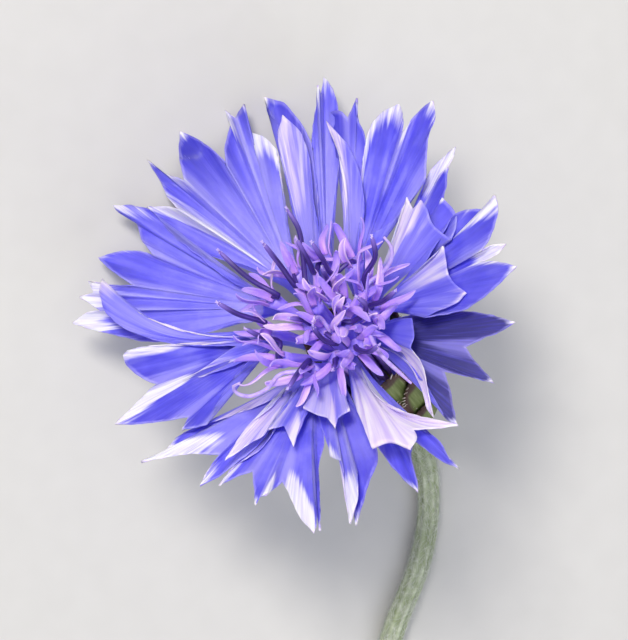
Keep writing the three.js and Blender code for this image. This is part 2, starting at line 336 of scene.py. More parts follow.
def bract_skin(add):
    """A leathery green scale: lengthways veins, a purple-brown band under its fringed margin."""
    fine = vein_streaks(add, 0.3, 5)
    leaf = [(0.3, "#55632f"), (0.5, "#6f7d42"), (0.72, "#8d9a62")]
    green = add("ValToRGB", stops=leaf, Fac=fine)
    brown = add("ValToRGB", stops=[(0.3, "#33211f"), (0.7, "#5b3c34")], Fac=fine)
    band = add("MapRange", 0, SOFT_STEP, Value="margin", From_Min=0.62, From_Max=0.86)
    return green, [(band, brown)], fine


def stem_skin(add):
    """Grey-green stem under a thin felt of white hairs, with painted shade in the grooves between its
    ribs.
    """
    leaf = [(0.3, "#98a57e"), (0.5, "#adb799"), (0.7, "#c8d0b9")]
    green, _, felt = grained(leaf, 0.8, 6.0)(add)
    shade = add("Math", 0, MULTIPLY, _0="groove", _1=0.4)
    return green, [(shade, "#74825a")], felt


# Living petal skin: velvety cells that scatter light, and a thin waxy sheen
SCATTER = dict(Subsurface_Weight=0.5, Subsurface_Radius=(0.6, 0.5, 1.0), Subsurface_Scale=0.0006)
SHEEN = dict(Sheen_Weight=0.12, Sheen_Roughness=0.4, Sheen_Tint=linear("#b9bcff"))
PETAL_GLOSS = dict(Roughness=0.5, IOR=1.42, **SCATTER, **SHEEN)
PETAL_INSIDE = finish_surface("cornflower_petal_inside", petal_inside, 0.08, 0.35, **PETAL_GLOSS)
PETAL_OUTSIDE = finish_surface("cornflower_petal_outside", petal_outside, 0.08, 0.35, **PETAL_GLOSS)
DISC_PETAL = finish_surface("cornflower_disc_petal", disc_petal, 0.06, 0.4, **PETAL_GLOSS)
ANTHER = finish_surface("cornflower_anther", anther_tube, 0.05, 0.4, Roughness=0.36, IOR=1.45)
BRACT = finish_surface("cornflower_bract", bract_skin, 0.08, 0.5, Roughness=0.6, IOR=1.45)
STEM = finish_surface("cornflower_stem", stem_skin, 0.1, 0.6, Roughness=0.85, IOR=1.4)
# Style and stigma: soft, moist, pale violet tissue
TISSUE_GLOSS = dict(Roughness=0.45, IOR=1.42, Subsurface_Weight=0.2, Subsurface_Scale=0.0004)
violet = grained([(0.3, "#a88fe0"), (0.7, "#cdb8f4")], 0.5)
STYLE = finish_surface("cornflower_style", violet, 0.03, 0.3, **TISSUE_GLOSS)
# Pollen: dry whitish grains with a pink cast
dust = grained([(0.35, "#b49cd2"), (0.65, "#d6c4e8")], 0.1)
POLLEN = finish_surface("cornflower_pollen", dust, 0.03, 0.5, Roughness=0.85)
# Receptacle: pale green, juicy flesh under the florets
flesh = grained([(0.35, "#8a9156"), (0.65, "#aab079")], 0.5)
FLESH = finish_surface("cornflower_receptacle", flesh, 0.05, 0.4, Roughness=0.7)
# Fringe of a scale: dry papery teeth, brown at the foot and silvery at the point
paper = grained([(0.35, "#8a7668"), (0.6, "#d8cfc4")], 0.6)
FRINGE = finish_surface("cornflower_bract_fringe", paper, 0.03, 0.4, Roughness=0.7)
# Cut pith: moist, pale green, spongy
sponge = grained([(0.35, "#b9c48c"), (0.65, "#e3e8c6")], 0.25)
PITH = finish_surface("cornflower_cut_pith", sponge, 0.08, 0.6, Roughness=0.5)
# Wool: fine silvery hairs, drawn about twice as thick as the real ones so that they show
silver = grained([(0.35, "#c3c9bd"), (0.65, "#eceee9")], 0.4)
WOOL = finish_surface("cornflower_wool", silver, 0.01, 0.2, Roughness=0.9)
# Table top: matt pale laminate, almost without a grain
laminate = grained([(0.3, "#c9c8c5"), (0.7, "#cbcac7")], 3.0, 1.0)
TABLE_TOP = finish_surface("matt_table_top", laminate, 0.01, 0.05, Roughness=0.85)


# ---- meshes


def place_object(name, data):
    """Puts a new object with this data into the scene."""
    made = bpy.data.objects.new(name, data)
    bpy.context.scene.collection.objects.link(made)
    return made


def add_piece(name, parts, materials, slot, *nodes):
    """Makes one object of the parts and ties it to the model. A part is (vertices, faces, the
    material's number for each face, values by name for each vertex)."""
    vertices, faces, numbers, values = zip(*parts)
    counts = [len(points) for points in vertices]
    starts = np.cumsum([0, *counts])
    faces = [(np.asarray(face) + start).tolist() for own, start in zip(faces, starts) for face in own]
    mesh = bpy.data.meshes.new(name)
    mesh.from_pydata((np.vstack(vertices) * MM).tolist(), [], faces)
    for material in materials:
        mesh.materials.append(material)
    mesh.polygons.foreach_set("material_index", np.concatenate(numbers).astype(np.int32))
    mesh.polygons.foreach_set("use_smooth", np.ones(len(faces), bool))
    for key in sorted(set().union(*values)):
        whole = [np.ravel(own.get(key, np.zeros(count))) for own, count in zip(values, counts)]
        whole = np.concatenate(whole).astype(np.float32)
        mesh.attributes.new(key, "FLOAT", "POINT").data.foreach_set("value", whole)
    mesh.update()
    piece = place_object(name, mesh)
    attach(piece, "root")
    if nodes:
        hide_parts(*nodes)


def shell(grid, thickness, closed, values, numbers=(0, 0)):
    """A thin sheet round a grid of points (rows, columns, 3): a face on each side and a rim.
    The first side is the one that the grid's normals point to."""
    rows, columns = shape = grid.shape[:2]
    if closed:
        sideways = np.roll(grid, -1, axis=1) - np.roll(grid, 1, axis=1)
    else:
        sideways = np.gradient(grid, axis=1)
    normals = np.cross(np.gradient(grid, axis=0), sideways)
    normals /= np.maximum(norm(normals, axis=-1, keepdims=True), 1e-9)
    half = np.broadcast_to(np.asarray(thickness, float), shape)[..., None] / 2
    sides = [(grid + normals * half).reshape(-1, 3), (grid - normals * half).reshape(-1, 3)]
    under = rows * columns
    index = np.arange(under).reshape(shape)
    if closed:
        index = np.hstack([index, index[:, :1]])
    top = [index[:-1, :-1], index[1:, :-1], index[1:, 1:], index[:-1, 1:]]
    top = np.stack(top, -1).reshape(-1, 4)
    rims = [index[-1], index[0][::-1]]
    if not closed:
        rims += [index[:, 0], index[::-1, -1]]
    edge = [np.stack([r[:-1], r[:-1] + under, r[1:] + under, r[1:]], -1) for r in rims]
    faces = np.vstack([top, top[:, ::-1] + under, *edge])
    marks = np.full(len(faces), numbers[0])
    marks[len(top) : 2 * len(top)] = numbers[1]
    doubled = {
        key: np.tile(np.broadcast_to(value, shape).reshape(-1), 2) for key, value in values.items()
    }
    return np.vstack(sides), faces, marks, doubled


def turning_frames(path):
    """Two directions across a path at each point, carried along it without twisting."""
    tangents = np.gradient(path, axis=0)
    tangents /= norm(tangents, axis=1, keepdims=True)
    side = np.cross(tangents[0], AXIS if abs(tangents[0] @ AXIS) < 0.9 else LOW_SIDE)
    across = []
    for tangent in tangents:
        side = unit(side - tangent * (side @ tangent))
        across.append(side)
    across = np.array(across)
    return across, np.cross(tangents, across)


def rod(path, radii, sides, ribs=0, depth=0.0, number=0, seed=0):
    """A round solid along a path, closed at both ends, with this many ribs round it."""
    path = np.asarray(path, float)
    one, other = turning_frames(path)
    angle = np.arange(sides) * 2 * pi / sides
    swell = 1 + depth * np.cos(ribs * angle)
    ring = np.broadcast_to(radii, len(path))[:, None] * swell
    body = (
        path[:, None]
        + (ring * np.cos(angle))[..., None] * one[:, None]
        + (ring * np.sin(angle))[..., None] * other[:, None]
    )
    shape = (len(path), sides)
    index = np.arange(len(path) * sides).reshape(shape)
    wrap = np.hstack([index, index[:, :1]])
    faces = [wrap[:-1, :-1], wrap[:-1, 1:], wrap[1:, 1:], wrap[1:, :-1]]
    faces = np.stack(faces, -1).reshape(-1, 4).tolist()
    faces += [index[0][::-1].tolist(), index[-1].tolist()]
    steps = norm(np.diff(path, axis=0), axis=1)
    length = np.concatenate([[0], np.cumsum(steps)])[:, None]
    values = dict(across=angle * np.mean(radii), along=length, depth=length / length[-1], piece=seed)
    values["groove"] = 0.5 - 0.5 * np.cos(ribs * angle)
    values = {key: np.broadcast_to(value, shape) for key, value in values.items()}
    return body.reshape(-1, 3), faces, np.full(len(faces), number), values


# ---- ray florets
# Each is a trumpet whose rim is cut into pointed lobes. Its rim is drawn in the view's pixels:
# the far wall clockwise, then the near wall back again. A point is a notch between lobes, a tip,
# or a bare point of the edge between them: x, y, lift, pale, fade, bend. lift is how far it
# stands above the bowl in mm, pale from -1, darkest blue, to 1, white, the white partly the
# skin's own and partly painted highlight, fade how far the white reaches inwards, and bend how
# many pixels the petal's line to the point swings sideways on its way. flare is how late the
# limb widens, lit how much painted light lies on the floret's inner part, deep how much darker
# blue it is, and dull how much painted shade lies over it.
POINT_DEFAULTS = (0.0, 0.0, 0.15, 0.0)


def rim_point(kind, *given):
    return (kind, *given, *POINT_DEFAULTS[len(given) - 2 :])


notch = partial(rim_point, "notch")
tip = partial(rim_point, "tip")

COLUMN_PIXELS = 3.4
LIMB_ROWS = 28
TUBE_ROWS = 7
TUBE_FOOT_RADIUS = 0.26
TUBE_MIDDLE_RADIUS = 0.3
TUBE_TOP_RADIUS = 0.5
# How straight a tube leaves its foot and meets its throat, and how much it turns with the limb
TUBE_RISE = 3.6
TUBE_ENTRY = 3.4
TUBE_TURN = 4.4
THROAT_RADIUS = 0.55
THROAT_DROP = 2.0
THROAT_DROP_REACH = 0.16
# Makes the greatest swing of a bent line, two thirds of the way out, just the bend given
BEND_PEAK = 6.75
# How slowly a line to the rim takes up the rim point's lift
LIFT_RISE = 0.75
# A lobe is a rounded valley between ridges that run down from its notches; some arch instead
LOBE_DEPTH_SHARE = 0.3
LOBE_DEEPEST = 1.5
LOBE_DEPTHS = [-1.25, -1.0, -0.8, 0.55]
# Relief is full where the petal is this long, in mm, and a curl where it is this long
FULL_RELIEF_SIZE = 6
FULL_CURL_SIZE = 9
MARGIN_ROLL = 0.45
MARGIN_WIDTH = 0.8
TIP_CURL = 1.25
NEAR_WALL_RELIEF = 0.5
RIB_HEIGHT = 0.035
RIBS_PER_LOBE = 3
SKIN_WAVES = [(4.2, 0.4), (1.7, 0.15)]
MARGIN_WAVE = 0.1
MARGIN_WAVE_LENGTH = 1.7
OUTLINE_WOBBLE = 0.9
OUTLINE_WOBBLE_SIZE = 9
OUTLINE_SEEDS = (3, 8)
# The share of the wobble that a lobe's very tip is spared
TIP_STEADINESS = 0.7
PALE_SOFTNESS = 0.12
DEEP_SOFTNESS = 0.2
TIP_PALE = 0.75
RIM_COLOUR_WIDTH = 0.3
TUBE_WALL = 0.2
LIMB_WALL = 0.15
OUTER_LIMB_WALL = LIMB_WALL * 0.8
RIM_WALL = 0.06
TIP_WALL = 0.22


def rim_columns(points, dice):
    """Columns along a closed rim: x, y, lift, pale, fade, bend, how near a lobe's tip from 0 to
    1, how deep the lobe's valley is, how its margin rolls and how its tip curls."""
    columns, stretch, depth, curl = [], [points[0]], 0.0, 0.0
    for point in [*points[1:], points[0]]:
        stretch.append(point)
        if point[0] == "edge":
            continue
        controls = np.array([p[1:] for p in stretch], float)
        pixels = norm(np.diff(controls[:, :2], axis=0), axis=1).sum()
        count = max(2, round(pixels / COLUMN_PIXELS))
        line = spline(controls, count + 1)[:-1]
        ends = [float(p[0] == "tip") for p in (stretch[0], point)]
        nearness = np.linspace(*ends, count + 1)[:-1]
        if stretch[0][0] == "notch" or not columns:
            chord = norm(controls[-1, :2] - controls[0, :2]) / PIXELS_PER_MM
            depth = min(LOBE_DEPTH_SHARE * chord, LOBE_DEEPEST) * dice.choice(LOBE_DEPTHS)
            curl = dice.uniform(-0.7, 1.0) * TIP_CURL
        roll = dice.uniform(-0.4, 1.0) * MARGIN_ROLL
        same = np.tile([depth, roll, curl], (count, 1))
        columns.append(np.column_stack([line, nearness, same]))
        stretch = [point]
    return np.vstack(columns)


def ray_floret(number, throat, lift, flare, far, near, lit=0.0, deep=0.0, dull=0.0):
    """One trumpet: a thin tube from the receptacle, and a limb of lobes."""
    name = f"ray_floret_{number}"
    points = [p if isinstance(p[0], str) else rim_point("edge", *p) for p in far + near]
    rim = rim_columns(points, random.Random(number * 31))
    pixels = rim[:, :2]
    lifts, pale, fade, bends, nearness, depths, rolls, curls = rim[:, 2:].T
    places = np.column_stack([pixels, 0 * lifts])
    rough = [wobble(places, OUTLINE_WOBBLE_SIZE, seed) for seed in OUTLINE_SEEDS]
    inside = 1 - (nearness == 1) * TIP_STEADINESS
    pixels = pixels + OUTLINE_WOBBLE * inside[:, None] * np.column_stack(rough)

    throat = np.array(throat, float)
    far_tips = np.array([p[1:3] for p in far if p[0] == "tip"], float)
    start, finish = np.array(far[0][1:3]), np.array(far[-1][1:3])
    main = unit(far_tips.mean(axis=0) - throat)
    lateral = np.array([-main[1], main[0]])
    if (finish - start) @ lateral < 0:
        lateral = -lateral
    order = np.arange(len(rim))
    corner = np.argmin(norm(pixels - finish, axis=1))
    turn = np.radians(np.interp(order, [0, corner, len(rim)], [-90, 90, 270]))
    ring = THROAT_RADIUS * PIXELS_PER_MM
    mouth = throat + ring * (np.cos(turn)[:, None] * main + np.sin(turn)[:, None] * lateral)
    reach = pixels - mouth
    v = np.linspace(0, 1, LIMB_ROWS)[:, None]
    ahead = (reach @ main) * v
    aside = (reach @ lateral) * v**flare + bends * BEND_PEAK * v**2 * (1 - v)
    grid_pixels = mouth + ahead[..., None] * main + aside[..., None] * lateral
    size = norm(reach, axis=1) / PIXELS_PER_MM
    drop = THROAT_DROP * np.exp(-v * size / (THROAT_DROP_REACH * size.max()))
    limb = on_bowl(grid_pixels, lift + lifts * v**LIFT_RISE - drop)

    margin = np.exp(-(1 - v) * size / MARGIN_WIDTH)
    step = norm(np.diff(pixels, axis=0, append=pixels[:1]), axis=1) / PIXELS_PER_MM
    across = np.concatenate([[0], np.cumsum(step)[:-1]])
    wide = smooth(v, 0.1, 0.75) * np.minimum(size / FULL_RELIEF_SIZE, 1)
    relief = depths * np.sin(pi / 2 * nearness) * wide
    relief += rolls * margin * (1 - nearness**2) * wide
    relief += RIB_HEIGHT * np.cos(2 * pi * RIBS_PER_LOBE * nearness) * wide
    long_enough = np.minimum(size / FULL_CURL_SIZE, 1)
    relief += curls * nearness**2 * smooth(v, 0.5, 1.0) ** 2 * long_enough
    relief += MARGIN_WAVE * np.sin(2 * pi * across / MARGIN_WAVE_LENGTH) * margin * wide
    for wave_size, height in SKIN_WAVES:
        relief += height * wobble(limb, wave_size, 7.0 * number) * smooth(v, 0.05, 0.4)
    relief *= np.where(order > corner, NEAR_WALL_RELIEF, 1)
    rays = CAMERA - limb
    rays /= norm(rays, axis=-1, keepdims=True)
    limb = off_table(limb + rays * relief[..., None])

    grid = np.concatenate([floret_tube(name, limb), limb])
    v = np.concatenate([np.zeros((TUBE_ROWS, 1)), v])
    hook = nearness**6 * smooth(v, 0.9, 1.0)
    white = pale * smooth(v, 1 - fade - PALE_SOFTNESS, 1 - fade + PALE_SOFTNESS)
    blue = np.maximum(-pale, 0) * smooth(v, 1 - fade - DEEP_SOFTNESS, 1 - fade + DEEP_SOFTNESS)
    values = dict(across=across, along=v * size, depth=v * size / size.max(), piece=number)
    # pale, also at the hooked lobe tips, is partly the skin's own white and partly painted highlight
    values["pale"] = np.maximum(white, TIP_PALE * hook)
    values["ridge"] = (1 - nearness) ** 2 * smooth(v, 0.3, 0.8)
    values["rim"] = np.exp(-(1 - v) * size / RIM_COLOUR_WIDTH)
    values.update(deep=deep + blue, dull=dull, lit=lit * (1 - smooth(v, 0.55, 1.0)))
    wall = np.interp(v, [0, 0.2, 0.8, 1], [TUBE_WALL, LIMB_WALL, OUTER_LIMB_WALL, RIM_WALL])
    wall = wall + (TIP_WALL - RIM_WALL) * hook
    part = shell(grid, wall, True, values, (1, 0))
    add_piece(f"petals_{name}", [part], [PETAL_INSIDE, PETAL_OUTSIDE], "ray_petal", name)


def floret_tube(name, limb):
    """Rings of a ray floret's tube, from where its node stands to the limb's throat."""
    foot = foot_of(name)
    throat = limb[0].mean(axis=0)
    leaving = unit(limb[LIMB_ROWS // 4].mean(axis=0) - throat)
    down = unit(throat - foot + TUBE_TURN * leaving)
    path = spline([foot, foot + TUBE_RISE * AXIS, throat - TUBE_ENTRY * down, throat], TUBE_ROWS + 1)
    share = np.linspace(0, 1, TUBE_ROWS + 1)
    radii = [TUBE_FOOT_RADIUS, TUBE_MIDDLE_RADIUS, TUBE_TOP_RADIUS]
    radii = np.interp(share, [0, 0.6, 1], radii) / THROAT_RADIUS
    return path[:-1, None] + (limb[0] - throat) * radii[:-1, None, None]


# The ray florets, clockwise from the upper left
ray_floret(1, (296, 288), lift=0.8, lit=0.45, flare=1.15, far=[
    notch(260, 271, 0.9), (240, 263, 0.7), (215, 257, 0.3), (188, 244), (166, 226),
    tip(147, 207, 0.2, 0.6, 0.1), (162, 206, 0.3, 0.9, 0.4), notch(178, 208, 0.3, 0.9, 0.75),
    (168, 198, 0.1, 0.6, 0.65), (160, 181, 0, 0.2, 0.4), tip(147, 160), (165, 173, 0, 0.55, 0.2),
    notch(184, 180, 0.2, 0.5, 0.12), (179, 155, 0, -0.4, 0.3), tip(180, 131, 0, -0.65, 0.4),
    (201, 141, 0, -0.65, 0.4), (222, 158, 0, -0.4, 0.3), notch(226, 165), (225, 145),
    (230, 124, 0, 0.3, 0.3), tip(225, 110, 0.6, 0.7), notch(235, 118, 0.5, 0.3, 0.3),
    tip(244, 104, 0.6), (248, 125, 0.4, 0.4, 0.3), notch(251, 132, 0.5, 0.8),
    (264, 137, 0.8, 0.8, 0.12), tip(277, 150, 0.8, 0.9, 0.16), (283, 190, 0.8, 0.5, 0.2),
    (290, 240, 0.9), notch(295, 262, 0.9),
], near=[
    (295, 270, 1.1), tip(289, 276, 1.2), (278, 277, 1.1),
])
ray_floret(2, (314, 276), lift=0, lit=0.5, flare=1.2, far=[
    notch(300, 240, 0.5), (290, 200, 0.2), (284, 150), (276, 120), (268, 108), tip(264, 97), (285, 104),
    (302, 125, 0, 0.3, 0.4), notch(311, 141, 0, 0.2, 0.4), (317, 180), notch(320, 238, 0.6),
], near=[
    notch(313, 196, 1.2, 0.1, 0.5), (310, 160, 1.3, 0.25, 0.55), (300, 132, 1.3, 0.38, 0.55),
    tip(283, 115, 1.2, 0.6, 0.6), (278, 135, 1.2, 0.5, 0.6), (281, 158, 1, 0.42, 0.6),
    (291, 200, 0.8, 0.22, 0.6),
])
ray_floret(3, (327, 272), lift=0.3, lit=0.6, flare=1.1, far=[
    notch(321, 242, 0.7), (317, 190, 0.3, 0.35, 0.6), (312, 140), (316, 108), tip(318, 85, 0.4, 0.7),
    notch(321, 95, 0.3), tip(324, 77, 0.3, 0.5), (334, 92), (338, 112), (341, 140),
    (338, 172, 0.2, 0.4, 0.6), (334, 202, 0.4), notch(331, 240, 0.7),
], near=[
    (331, 258, 1), tip(327, 258, 1), (323, 258, 1),
])
ray_floret(4, (352, 277), lift=0.5, lit=0.5, flare=1.15, far=[
    notch(346, 246, 0.7), (346, 205, 0.3), (341, 165, 0.2, 0, 0.15, 4), tip(325, 119, 0.2, 0.3, 0.1, 8),
    (331, 112, 0, -0.6, 0.35), (340, 111, 0, -0.6, 0.35), notch(348, 117, 0, -0.5, 0.35), tip(357, 98),
    (358, 118), (365, 138), (368, 180), notch(362, 240, 0.7),
], near=[
    (364, 208, 1), (361, 178, 1.2, 0.2, 0.4), (348, 146, 1.3, 0.35, 0.4),
    tip(326, 121, 1.3, 0.9, 0.25, 8), (336, 146, 1.2, 0.75, 0.4, 6), (341, 168, 1.1, 0.6, 0.4, 3),
    (343, 205, 0.9, 0.4, 0.5),
])
ray_floret(5, (356, 276), lift=1, deep=0.2, flare=1.1, far=[
    notch(358, 248, 0.8), (361, 200, 0.6, 0.5, 0.4), (364, 150, 0.8, 0.9, 0.3), (372, 124, 0.8, 0.7),
    (385, 111, 0.6, 0.7, 0.1), tip(399, 104, 0.5, 0.8, 0.1), (403, 116, 0.2, 0.5), notch(402, 132),
    (407, 127, 0.3, 0.8), notch(412, 119), (422, 108), tip(433, 101, 0.3, 0.7, 0.08),
    (435, 117, 0.2, 0.5, 0.08), (428, 140), notch(426, 180), (406, 208), (384, 227, 0.3),
    (371, 234, 0.5), notch(364, 250, 0.8),
], near=[
    (363, 263, 1.1), tip(360, 262, 1.2), (357, 263, 1.1),
])
ray_floret(6, (377, 293), lift=0.2, lit=0.3, flare=1.2, far=[
    notch(396, 262, 0.8), (414, 216), (424, 186, -0.3), (434, 166, -0.3, 1, 0.22),
    tip(456, 146, -0.2, 1, 0.36), (452, 160, -0.2, 1, 0.28), notch(439, 176, -0.2, 0.3),
    tip(448, 167, 0, -0.6, 0.4), (446, 188, 0, -0.6, 0.4), notch(439, 218), (440, 207),
    tip(443, 198, 0.5), (457, 216, 0.4), notch(452, 240, 0.6),
], near=[
    (434, 226, 1.4, 0.2), (427, 209, 1.7, 0.3, 0.3), tip(421, 200, 1.8, 0.75, 0.35),
    notch(413, 209, 1.9, 0.6, 0.7), tip(407, 197, 1.9, 0.8, 0.7), (399, 222, 1.6, 0.6, 0.6),
])
ray_floret(7, (385, 306), lift=0.9, deep=0.35, flare=1.2, far=[
    notch(425, 262, 1), (444, 232, 0.7), (455, 214, 0.6), (472, 209, 0.4, 0.4, 0.08), (488, 209),
    tip(495, 195, 0.3, 0.8, 0.42), (498, 212, 0, 0.4, 0.1), (490, 238), notch(481, 251, 0, 0.6),
    (493, 245, -0.2, 1, 0.2), tip(506, 244, -0.3, 1, 0.25), (497, 254, -0.2, 1, 0.22),
    notch(480, 262, 0, 0.8), (495, 261, 0, 0.6, 0.1), tip(517, 266, 0, 0.3, 0.05), (506, 277),
    (490, 292), (478, 302), (460, 311), notch(424, 318, 0.9),
], near=[
    (440, 310, 1.4, 0.3, 0.3), (456, 303, 1.5, 0.5, 0.1), tip(466, 293, 1.5, 0.6, 0.08),
    (455, 284, 1.6, 0.2, 0.5), notch(448, 275, 1.7, 0.45, 0.8), (446, 262, 1.8, 0.45, 0.8),
    tip(443, 246, 2, 0.5, 0.7), (432, 258, 1.8, 0.5, 0.8),
])
# Floret 8 is darkened all over by painted shade
ray_floret(8, (366, 334), lift=-0.2, flare=1.2, dull=1.05, far=[
    notch(395, 319, 0.6), (430, 311, -0.5), (467, 311, -1.2), (495, 316, -1.6), tip(515, 322, -1.8),
    (500, 332, -1.8), (485, 338, -1.6), notch(466, 347, -1.4), (476, 362, -1.5), (489, 376, -1.6),
    tip(494, 383, -1.6), (477, 379, -1.4), (460, 375, -1.2), notch(444, 372, -0.8), (450, 388, -0.8),
    (454, 410, -0.8), tip(457, 424, -0.8), (448, 420, -0.7), (438, 405, -0.5), (428, 388, -0.2),
    (415, 370, 0.3), notch(402, 353, 0.8),
], near=[
    (412, 368, 1.2, 0.8, 0.6, -4), (422, 390, 1.1, 1, 0.6, -10), (427, 408, 1, 1, 0.6, -14),
    tip(433, 417, 0.9, 1, 0.6, -16), (430, 403, 1.1, 1, 0.6, -16), (427, 387, 1.3, 1, 0.6, -12),
    (424, 369, 1.5, 1, 0.6, -6), (415, 354, 1.7, 0.8, 0.5, -2), notch(411, 348, 1.9), (414, 334, 2.2),
    notch(412, 318, 2),
])
ray_floret(9, (350, 358), lift=1, flare=1.5, far=[
    notch(366, 384, 1), (388, 410, 0.2), (414, 426), (438, 440), (448, 456), tip(459, 469), (440, 460),
    notch(414, 440), (411, 457), (417, 480), tip(418, 492), (400, 476), (380, 450), (364, 425),
    notch(352, 396, 0.9),
], near=[
    (360, 418, 2.2, 0.8, 0.9), tip(372, 448, 2.4, 1, 0.9), (390, 442, 2.4, 1, 0.9),
    tip(410, 449, 2.2, 1, 0.9), (417, 438, 2.2, 1, 0.9, 5), notch(414, 430, 2.2, 1, 0.9, 8),
    (440, 428, 2, 1, 0.9, 13), tip(458, 425, 1.6, 1, 0.9, 18), (443, 421, 1.8, 1, 0.9, 16),
    (412, 414, 2, 1, 0.9, 11), (385, 402, 1.8, 0.9, 0.9, 5),
])
ray_floret(10, (329, 358), lift=0.5, lit=0.45, flare=1.35, far=[
    notch(339, 384, 1), (352, 405, 0.5), (368, 430), (378, 456), (368, 486), tip(356, 526),
    notch(357, 472), (358, 497, 0.3, 0.8, 0.2), tip(350, 524, 0.4, 1, 0.3), (345, 494, 0.3, 0.9, 0.22),
    notch(343, 462, 0.2, 0.3, 0.06), tip(331, 457, 0.3, 0.7), (326, 440), (318, 415, 0.5),
    notch(320, 384, 1),
], near=[
    tip(303, 408, 2.2, 0.45, 0.6), (315, 414, 2.3, 0.4, 0.6), notch(328, 418, 2.4, 0.45, 0.6),
    tip(335, 428, 2.4, 0.9, 0.35), notch(338, 418, 2.4, 0.45, 0.6), tip(350, 410, 2.2, 0.35, 0.6),
])
ray_floret(11, (313, 378), lift=0.3, lit=0.1, flare=1.2, far=[
    notch(318, 394, 0.9), (324, 440), (319, 467), (320, 500), tip(320, 531), notch(315, 503),
    (317, 518, 0.3), tip(314, 533, 0.3, 0.9, 0.16), (300, 518, 0.3, 1, 0.24), (289, 494, 0.2, 0.9, 0.2),
    notch(282, 482), (275, 488), tip(266, 495, 0.2, 1, 0.2), notch(260, 497), tip(255, 505), (254, 488),
    notch(252, 471), (236, 477), tip(219, 486, 0.3, 0.7, 0.3), (234, 467, 0.4, 0.7, 0.4),
    (262, 448, 0.5, 0.4, 0.4), (278, 422, 0.6, 0.4), notch(292, 396, 0.9),
], near=[
    tip(268, 430, 1.5, 0.5, 0.5), notch(284, 426, 1.5, 0.35, 0.5), tip(293, 446, 1.6, 0.8, 0.3),
    notch(304, 420, 1.5, 0.3, 0.5),
])
ray_floret(12, (300, 380), lift=0, lit=0.3, flare=1.2, far=[
    notch(290, 392, 0.9), (276, 420, 0.3), (256, 447), notch(235, 464), (218, 477),
    tip(200, 486, 0.2, 0.7, 0.2), (208, 470, 0.2, 0.5), notch(219, 455), (190, 454, 0.2, 0.7, 0.3),
    tip(141, 462, 0.3, 1, 0.3), (165, 452, 0.3, 1, 0.3), notch(188, 443, 0.1, 0.7), tip(167, 449),
    (180, 436), (200, 427, 0.2), (222, 419, 0.4, 0.7, 0.6), (250, 409, 0.6, 0.7, 0.7),
    notch(282, 396, 0.9, 0.5, 0.7),
], near=[
    (268, 410, 1.3, 0.6, 0.8), (246, 428, 1.6, 0.7, 0.8), tip(225, 460, 1.8, 0.8, 0.8),
    (238, 452, 1.7, 0.7, 0.8), notch(250, 443, 1.6, 0.6, 0.8), (266, 432, 1.4, 0.6, 0.8),
])
ray_floret(13, (276, 338), lift=0.8, deep=0.55, flare=1.05, far=[
    notch(252, 357, 0.8), (232, 380), (216, 405), notch(207, 425), tip(182, 430, 0.4, 0.4),
    notch(188, 417), (165, 421), (140, 424), tip(115, 424, 0.2, 0.7, 0.25), (127, 412, 0.2, 1, 0.4),
    (142, 397, 0.2, 1, 0.4), notch(156, 384), (140, 377), (127, 366), tip(123, 356, 0.2, 0.75, 0.35),
    (131, 349, 0.2, 0.8, 0.45), (155, 346, 0.3, 0.8, 0.4), (200, 345, 0.5, 0.7, 0.3),
    (240, 342, 0.7, 0.4, 0.3), notch(252, 340, 0.9),
], near=[
    (244, 337, 1, 0.6, 0.3, -1), (205, 335, 1.4, 0.8, 0.3, -3), (165, 324, 1.8, 0.9, 0.22, -9),
    (135, 311, 2, 0.9, 0.16, -16), (112, 293, 2.2, 0.8, 0.1, -25), tip(102, 279, 2.4, 0.6, 0.05, -36),
    (100, 296, 2.2, 0.3, 0.05, -29), (108, 315, 1.9, 0, 0.15, -17), (130, 331, 1.6, 0, 0.15, -9),
    (175, 344, 1.2, 0, 0.15, -2), notch(236, 346, 1.1), tip(182, 382, 1, 0.8, 0.6),
    (222, 370, 1.1, 0.2),
])
ray_floret(14, (280, 308), lift=0.3, lit=0.2, flare=1.1, far=[
    notch(252, 322, 0.9), (232, 324, 0.7), (212, 331, 0.5), (190, 336, 0.3), (150, 342), (115, 335),
    (90, 329, 0.2, 0.9), tip(72, 323, 0.3, 1), (88, 312, 0.3, 0.9), notch(101, 311, 0.2, 0.4),
    tip(79, 297, 0.4, 0.9), notch(93, 292, 0.4, 0.6), tip(88, 281, 0.5, 0.9), (110, 285, 0.3, 0.4),
    notch(133, 285), (112, 271), tip(98, 258), (120, 251, 0, 0.5, 0.05), (140, 251), notch(153, 255),
    (142, 240), (135, 220), (120, 213), tip(113, 205, 0.4, 0.5), (135, 206, 0.2, 0.5), (152, 212),
    (172, 234), (196, 254, 0.3), (222, 275, 0.6), notch(243, 288, 0.9),
], near=[
    (258, 296, 1.1), tip(263, 305, 1.2), (262, 315, 1.1),
])


# ---- disc florets

# Where each anther tube shows, from its foot to its tip, in the view's pixels
ANTHER_PATHS = {
    1: [(306, 284), (303, 255), (299, 230), (287, 209)],
    3: [(338, 343), (325, 341), (316, 332), (313, 326)],
    4: [(352, 322), (363, 315), (366, 305), (357, 297)],
    6: [(330, 287), (326, 277), (322, 268)],
    7: [(297, 288), (280, 265), (263, 243)],
    8: [(280, 296), (258, 284), (240, 271), (219, 251)],
    9: [(266, 323), (250, 318), (235, 313), (218, 303)],
    10: [(280, 342), (262, 337), (246, 329)],
    11: [(310, 360), (300, 370), (288, 388)],
    13: [(357, 349), (368, 352), (379, 345)],
    15: [(371, 305), (383, 301), (395, 291)],
    16: [(364, 277), (375, 257), (372, 237)],
    17: [(333, 274), (323, 260), (312, 243)],
    18: [(315, 273), (309, 262), (297, 240)],
}
# Where a bare style shows beyond its anther tube or, on floret 14, without one
STYLE_PATHS = {
    3: [(330, 333), (324, 322), (318, 317), (312, 322)],
    11: [(281, 374), (268, 388), (252, 396), (238, 394), (233, 387), (240, 383)],
    14: [(372, 340), (383, 357), (400, 373), (411, 383)],
    16: [(383, 272), (391, 260), (391, 247), (384, 237)],
}
